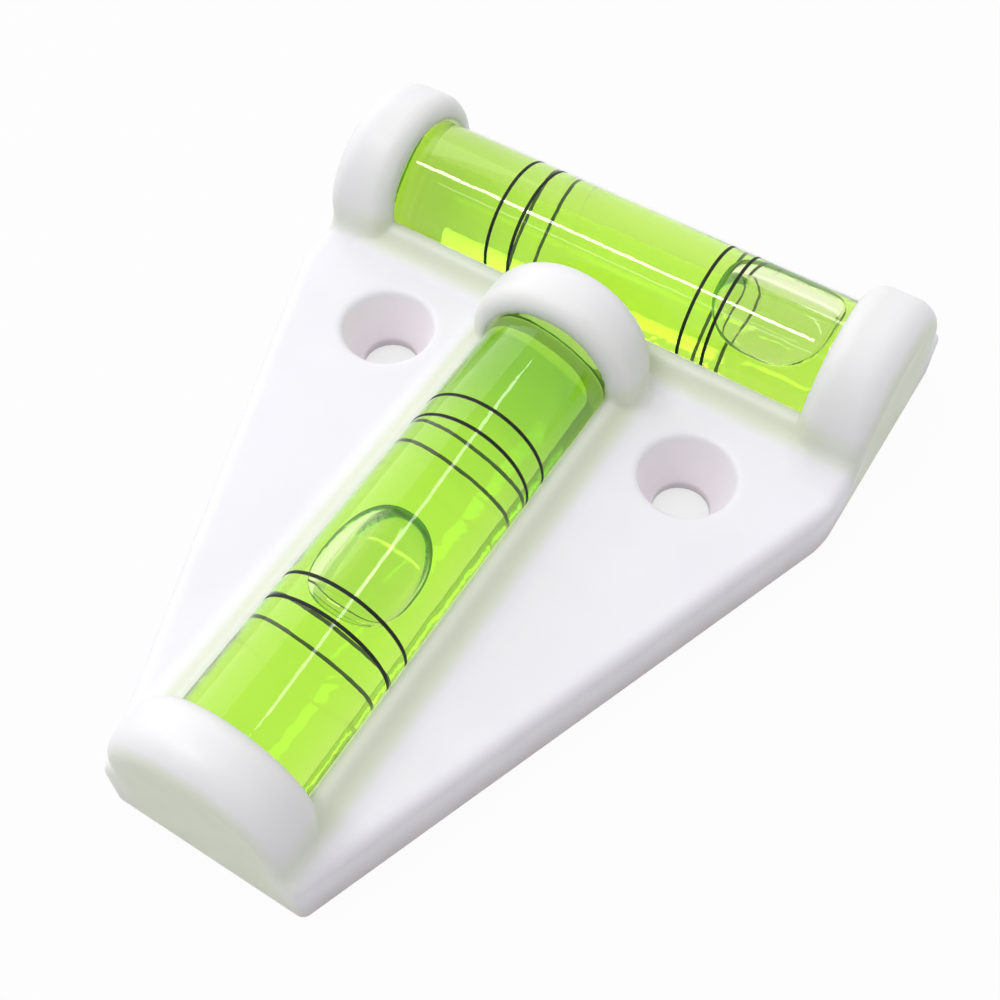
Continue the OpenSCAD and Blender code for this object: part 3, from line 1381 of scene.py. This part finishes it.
@dataclass
class Vial:
    """Clear barrel with a crowned bore, its plug, fluid, bubble and marker lines.

    Attributes:
        place: Where the vial lies.
        materials: Its materials by the name of the layer.
        roll: How far the bubble has moved round the axis, in degrees.
        plumpness: Length of the bubble as a share of its node's, where it has drawn together.
        breadth: Width of the bubble as a share of its node's, where it has spread round the bore.
        oval_power: Power of the bubble's oval, where 2 is an ellipse and more is squarer.
        rim: Rounding of the barrel's ends.
        crown: How much the bore is wider in its middle than at its ends, in radius.
        skin: Gap between the fluid and the walls round it.
        line_count: Number of marker lines.
        line_depth: How deep a marker line lies in the barrel.
        line_proud: How far it stands out.
        line_steps: Steps of its rounded corners.
        segments: Steps round the axis.
        bore_steps: Steps along the bore.
        bubble_rings: Steps from the bubble's middle to its rim.
        bubble_rim: Height of the bubble's rim below its upper skin.
    """

    place: VialPlace
    materials: Mapping[str, bpy.types.Material]
    roll: float
    plumpness: float
    breadth: float
    oval_power: float
    rim: float = 0.5
    crown: float = 0.25
    skin: float = 0.02
    line_count: int = 4
    line_depth: float = 0.18
    line_proud: float = 0.015
    line_steps: int = 3
    segments: int = 192
    bore_steps: int = 48
    bubble_rings: int = 28
    bubble_rim: float = 0.5

    def size_of(self, piece: str) -> tuple[Array, Array]:
        """Place and size of one of the vial's nodes, across, along and above the axis.

        Args:
            piece: What the node is called after the vial's name.

        Returns:
            Its middle and its size.
        """
        low, high = (np.array(corner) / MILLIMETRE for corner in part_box(f"{self.place.name}_{piece}"))
        middle = np.array(self.place.local(*((low + high) / 2)))
        axes = np.abs(np.stack([self.place.across, self.place.along, UP]))
        return middle, axes @ (high - low)

    def finish(self, node: str, body: str, layers: Mapping[str, Shell]) -> bpy.types.Object:
        """Puts shells that are drawn about the axis in place as one piece.

        Args:
            node: The node that it stands for, after the vial's name.
            body: The body that it rides on.
            layers: Its surfaces, across, along and above the axis, by the name of the material.

        Returns:
            The piece.
        """
        placed = [Shell(self.place.world(shell.points), shell.faces) for shell in layers.values()]
        materials = [self.materials[layer] for layer in layers]
        piece = make_piece(f"{self.place.name}_vial_{node}", placed, materials)
        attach(piece, body)
        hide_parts(f"{self.place.name}_{node}")
        return piece

    def chamber(self, gap: float) -> Shell:
        """The bore's closed surface, drawn in by a gap.

        Its radius grows by the crown times one less the square of the share of the way from the middle to
        an end.

        Args:
            gap: How far it is drawn in.

        Returns:
            The surface, facing outward.
        """
        _, size = self.size_of("fluid")
        half = size[1] / 2 + self.skin
        end_radius = size[2] / 2 + self.skin - self.crown - gap
        share = np.linspace(-1, 1, self.bore_steps + 1)
        radius = end_radius + self.crown * (1 - share * share)
        wall = np.stack([radius, share * (half - gap)], 1)
        profile = np.vstack([[0, -half + gap], wall, [0, half - gap]])
        return Shell.revolved(profile, self.segments)

    def build_barrel(self) -> bpy.types.Object:
        """The barrel: an outer tube with rounded rims, and the bore inside it facing the fluid.

        Returns:
            The piece.
        """
        radius, half, rim = self.place.radius, self.place.half, self.rim
        profile = np.vstack([
            [0, -half],
            rounded_corner((radius - rim, rim - half), rim, -90, 0),
            rounded_corner((radius - rim, half - rim), rim, 0, 90),
            [0, half],
        ])
        layers = {"acrylic": Shell.revolved(profile, self.segments), "bore": self.chamber(0).inward()}
        return self.finish("barrel", LEVEL_BODY, layers)

    def build_plug(self) -> bpy.types.Object:
        """The welded plug: a short cylinder with chamfered rims, inside the barrel's filling end.

        Returns:
            The piece.
        """
        middle, size = self.size_of("plug")
        start = middle[1] - size[1] / 2 + self.skin
        end = middle[1] + size[1] / 2 - self.skin
        radius, bevel = size[2] / 2, self.rim / 2
        profile = np.array([
            [0, start],
            [radius - bevel, start],
            [radius, start + bevel],
            [radius, end - bevel],
            [radius - bevel, end],
            [0, end],
        ])
        layers = {"plug": Shell.revolved(profile, self.segments)}
        return self.finish("plug", LEVEL_BODY, layers)

    def build_fluid(self) -> bpy.types.Object:
        """The fluid, which fills the bore."""
        layers = {f"{self.place.name}_fluid": self.chamber(self.skin)}
        return self.finish("fluid", LEVEL_BODY, layers)

    def build_bubble(self) -> bpy.types.Object:
        """The bubble, in polar coordinates about its own middle.

        In plan it is an oval whose sine and cosine are raised to two over the oval's power. Its upper skin
        follows the bore and turns down at the rim, by one less the root of one less the share's fourth power.
        Its underside is a half ellipsoid that hangs from the same rim. The whole is then rolled about the
        vial's axis.

        Returns:
            The piece.
        """
        middle, size = self.size_of("bubble")
        top = middle[2] + size[2] / 2
        share = np.sin(np.linspace(0, np.pi / 2, self.bubble_rings))[1:]
        angle = np.linspace(0, 2 * np.pi, self.segments, endpoint=False)
        round_trip = np.stack([np.cos(angle), np.sin(angle)], 1)
        reach = size[:2] / 2 * [self.breadth, self.plumpness]
        oval = np.sign(round_trip) * np.abs(round_trip) ** (2 / self.oval_power) * reach
        flat = share[:, None, None] * oval[None]
        film = np.sqrt(np.maximum(top * top - flat[..., 0] ** 2, 0))
        edge = np.sqrt(np.maximum(1 - share ** 2, 0))[:, None]
        bow = 1 - np.sqrt(np.maximum(1 - share ** 4, 0))[:, None]
        upper = film - self.bubble_rim * bow
        lower = film - self.bubble_rim - (size[2] - self.bubble_rim) * edge
        skin = np.concatenate([np.dstack([flat, upper]), np.dstack([flat, lower])[-2::-1]])
        faces = strip_faces(len(skin), self.segments, closed_rows=False).tolist()
        poles = (0, 0, top), (0, 0, top - size[2])
        shell = Shell.with_poles(skin.reshape(-1, 3), faces, self.segments, *poles)
        across, along, up = shell.points.T
        sine, cosine = math.sin(math.radians(self.roll)), math.cos(math.radians(self.roll))
        rolled = across * cosine + up * sine, along + middle[1], up * cosine - across * sine
        shell.points = np.stack(rolled, 1)
        body = f"{self.place.name}_bubble"
        return self.finish("bubble", body, {body: shell})

    def build_lines(self) -> list[bpy.types.Object]:
        """The marker lines: flat rings with rounded outer corners, a little proud of the barrel.

        Returns:
            The pieces.
        """
        made = []
        radius, soft = self.place.radius, self.line_proud
        for number in range(1, self.line_count + 1):
            middle, size = self.size_of(f"line_{number}")
            half = size[1] / 2
            profile = np.vstack([
                [radius - self.line_depth, -half],
                rounded_corner((radius, soft - half), soft, -90, 0, self.line_steps),
                rounded_corner((radius, half - soft), soft, 0, 90, self.line_steps),
                [radius - self.line_depth, half],
            ]) + [0, middle[1]]
            layers = {"ink": Shell.revolved(profile, self.segments)}
            made.append(self.finish(f"line_{number}", LEVEL_BODY, layers))
        return made

    def build(self) -> list[bpy.types.Object]:
        """All pieces of the vial."""
        parts = [self.build_barrel(), self.build_plug(), self.build_fluid(), self.build_bubble()]
        return parts + self.build_lines()


# Studio


@dataclass(frozen=True)
class Lamp:
    """A soft rectangular lamp that looks at the object's middle.

    Attributes:
        name: Name of the lamp.
        place: Where it hangs, in metres.
        along: Direction of its length.
        size: Length and width, in metres.
        power: Power in watts.
    """

    name: str
    place: Triple
    along: Triple
    size: Pair
    power: float

    def hang(self) -> None:
        """Adds the lamp to the scene."""
        data = bpy.data.lights.new(self.name, "AREA")
        data.shape = "RECTANGLE"
        data.size, data.size_y = self.size
        data.energy = self.power
        lamp = bpy.data.objects.new(self.name, data)
        lamp.location = self.place
        back = Vector(self.place).normalized()
        side = Vector(self.along)
        side = (side - side.dot(back) * back).normalized()
        lamp.rotation_euler = Matrix((side, back.cross(side), back)).transposed().to_euler()
        bpy.context.scene.collection.objects.link(lamp)


@dataclass(frozen=True)
class Studio:
    """Camera, plain lamps, pale floor and white surround.

    Attributes:
        holes: The screw holes, under which the floor lies in shade.
        cross_front: Front of the cross vial's cradle, behind which the floor lies in deeper shade.
        azimuth: Camera's direction round the object, in degrees.
        elevation: Camera's height angle, in degrees.
        lens: Focal length, in millimetres.
        sensor: Width of the camera's sensor, in millimetres.
        clip: Nearest and farthest distance that the camera sees, in metres.
        eye: Camera's place, in millimetres.
        surround: Strength of the surround's light on the object.
        surround_lean: Share by which that light is stronger from the back and weaker from the front.
        lean_span: Size of a direction's part toward the back at which the light is at its strongest.
        surround_colour: Colour of that light.
        light_steps: Bounces of a ray of light, enough to go through both vials and back.
        floor_half: Half of the floor's width, in metres.
        floor_gap: How far the floor lies below the object's foot, in metres.
        floor_colour: Colour of the floor as it reflects light.
        floor_white: Share of plain white in what the camera sees of the floor.
        floor_shaded: That share under the screw holes.
        floor_through: That share as seen through a vial.
        floor_under_cross: That share as seen through the cross vial.
        cross_border: Distance in which the last of these sets in, in millimetres.
        lamps: The lamps.
    """

    holes: ScrewHoles
    cross_front: float
    azimuth: float = 32.31
    elevation: float = 56.40
    lens: float = 51.31
    sensor: float = 36.0
    clip: Pair = (0.005, 20.0)
    eye: Triple = (35.11, -51.12, 95.65)
    surround: float = 0.59
    surround_lean: float = 0.16
    lean_span: float = 0.8
    surround_colour: Colour = (0.985, 0.97, 1.0)
    light_steps: int = 24
    floor_half: float = 1.5
    floor_gap: float = 0.00004
    floor_colour: Colour = (0.66, 0.66, 0.66)
    floor_white: float = 0.95
    floor_shaded: float = 0.66
    floor_through: float = 0.9
    floor_under_cross: float = 0.68
    cross_border: float = 3.0
    lamps: tuple[Lamp, ...] = (
        Lamp("front_strip", place=(-0.175, -0.13, 0.50), along=(1, 0, 0), size=(0.32, 0.045), power=0.85),
        Lamp("low_strip", place=(-0.175, -0.352, 0.50), along=(1, 0, 0), size=(0.32, 0.03), power=0.10),
        Lamp("back_strip", place=(0.063, 0.204, 0.5), along=(-0.56, 0.83, 0), size=(0.34, 0.036), power=0.28),
        Lamp("left_lamp", place=(-0.48, 0.16, 0.30), along=(0, 1, 0), size=(0.60, 0.60), power=1.1),
    )

    def place_camera(self) -> None:
        """Adds the camera at the photograph's viewing angle."""
        data = bpy.data.cameras.new("camera")
        data.lens, data.sensor_width = self.lens, self.sensor
        data.clip_start, data.clip_end = self.clip
        camera = bpy.data.objects.new("camera", data)
        camera.location = Vector(self.eye) * MILLIMETRE
        turn, rise = math.radians(self.azimuth), math.radians(self.elevation)
        back = Vector((math.sin(turn) * math.cos(rise), -math.cos(turn) * math.cos(rise), math.sin(rise)))
        camera.rotation_euler = (-back).to_track_quat("-Z", "Y").to_euler()
        bpy.context.scene.collection.objects.link(camera)
        bpy.context.scene.camera = camera

    def light_world(self) -> None:
        """A plain surround that lights a little more from the back and is seen as white."""
        world = bpy.data.worlds.new("surround")
        world.use_nodes = True
        graph = Graph(world.node_tree)
        back = graph.split(graph.coordinates("Generated"))[1]
        least, most = self.surround * (1 - self.surround_lean), self.surround * (1 + self.surround_lean)
        light = graph.node("ShaderNodeBackground", None, {
            "Color": opaque(self.surround_colour),
            "Strength": back.between(-self.lean_span, self.lean_span, least, most),
        })
        white = graph.node("ShaderNodeBackground", None, {"Color": opaque(WHITE), "Strength": 1.0})
        shown = graph.node("ShaderNodeMixShader", None, {
            0: graph.ray("Camera").larger(graph.ray("Glossy")).larger(graph.ray("Transmission")),
            1: light.outputs[0],
            2: white.outputs[0],
        })
        graph.node("ShaderNodeOutputWorld", None, {"Surface": shown.outputs[0]})
        bpy.context.scene.world = world

    def lay_floor(self) -> None:
        """A pale floor that is nearly white to the camera and keeps the object's soft shadow."""
        corners = np.array([[-1, -1, 0], [1, -1, 0], [1, 1, 0], [-1, 1, 0]]) * self.floor_half
        corners[:, 2] = -self.floor_gap
        mesh = bpy.data.meshes.new("floor")
        mesh.from_pydata(corners.tolist(), [], [[0, 1, 2, 3]])
        material, graph = new_material("pale_floor")
        matt = graph.node("ShaderNodeBsdfDiffuse", None, {"Color": opaque(self.floor_colour)})
        white = graph.node("ShaderNodeEmission", None, {"Color": opaque(WHITE), "Strength": 1.0})
        through = graph.ray("Transmission")
        plain = graph.ray("Camera").larger(graph.ray("Glossy"))
        x, y, _ = graph.place()
        rim = self.holes.radius, self.holes.top_radius
        above = self.holes.away(x, y).between(*rim, self.floor_shaded, self.floor_white)
        border = self.cross_front, self.cross_front + self.cross_border
        under = y.between(*border, self.floor_through, self.floor_under_cross)
        graph.surface(graph.node("ShaderNodeMixShader", None, {
            0: plain * (1 - through) * above + through * under,
            1: matt.outputs[0],
            2: white.outputs[0],
        }))
        mesh.materials.append(material)
        floor = bpy.data.objects.new("floor", mesh)
        bpy.context.scene.collection.objects.link(floor)

    def build(self) -> None:
        """Adds everything that isn't the object."""
        scene = bpy.context.scene
        scene.view_settings.view_transform = "Standard"
        scene.cycles.max_bounces = self.light_steps
        scene.cycles.transmission_bounces = self.light_steps
        self.place_camera()
        self.light_world()
        self.lay_floor()
        for lamp in self.lamps:
            lamp.hang()


def vial_layers(cross: VialPlace, stem: VialPlace) -> dict[str, bpy.types.Material]:
    """Materials of the vials' layers; those that differ between the vials start with the vial's name.

    Args:
        cross: Place of the cross vial.
        stem: Place of the stem vial.

    Returns:
        The materials by the name of the layer.
    """
    tint_depth = 0.005
    fluid_index = 1.47
    clear_tint = Tint(kept=(0.955, 0.99, 0.70), depth=tint_depth)
    plug_tint = Tint(kept=(0.8, 0.97, 0.4), depth=tint_depth)
    layers = {
        "acrylic": ClearLayer(
            "clear_acrylic", bend=1.49, roughness=(0.0, 0.03), ripple=1.5e-5, tint=clear_tint
        ),
        "bore": ClearLayer("wetted_bore", bend=1.012),
        "plug": ClearLayer("welded_plug", bend=1.01, roughness=(0.0, 0.1), tint=plug_tint),
        # Painted tints on the bubbles: air has no colour, so these tints stand for how light and reflections
        # look in each bubble.
        "cross_bubble": ClearLayer("cross_bubble", bend=1 / fluid_index, colour=(0.81, 0.815, 0.93)),
        "stem_bubble": ClearLayer("stem_bubble", bend=1 / fluid_index, colour=(0.84, 0.86, 0.82)),
        "ink": LineInk(),
    }
    made = {name: layer.material() for name, layer in layers.items()}
    # Each dye's surface tints carry painted shade toward its vial's dim end.
    pale_dye_and_shade = DyedFluid(kept=(0.71, 0.965, 0.26), thin=(0.98, 0.99, 0.98), dim_end_shade=(0.84, 0.89, 0.98))
    deep_dye_and_shade = DyedFluid(kept=(0.62, 0.94, 0.13))
    made["cross_fluid"] = pale_dye_and_shade.material(cross)
    made["stem_fluid"] = deep_dye_and_shade.material(stem)
    return made


def main() -> None:
    """Builds the studio, the housing and both vials around the frame."""
    logging.basicConfig(level=logging.INFO, format="%(message)s")
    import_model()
    cross = VialPlace.read(
        "cross", across=(0, -1, 0), along=(1, 0, 0), bright_end=1, side_shares=(1.45, 0.9)
    )
    stem = VialPlace.read(
        "stem", across=(1, 0, 0), along=(0, 1, 0), bright_end=-1, side_shares=(0.85, 1.0)
    )
    low, high = (np.array(corner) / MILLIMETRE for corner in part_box("housing"))
    housing = Housing(cross, stem, low, high)
    Studio(housing.holes, housing.cross_front).build()
    pieces = [housing.build(MouldedPlastic())]
    layers = vial_layers(cross, stem)
    vials = (
        Vial(cross, layers, roll=-3.0, plumpness=0.96, breadth=1.13, oval_power=3.0),
        Vial(stem, layers, roll=5.0, plumpness=0.92, breadth=1.0, oval_power=2.5),
    )
    for vial in vials:
        pieces += vial.build()
    for piece in pieces:
        LOG.info("%s: %d points, %d faces", piece.name, len(piece.data.vertices), len(piece.data.polygons))


if __name__ == "__main__":
    main()
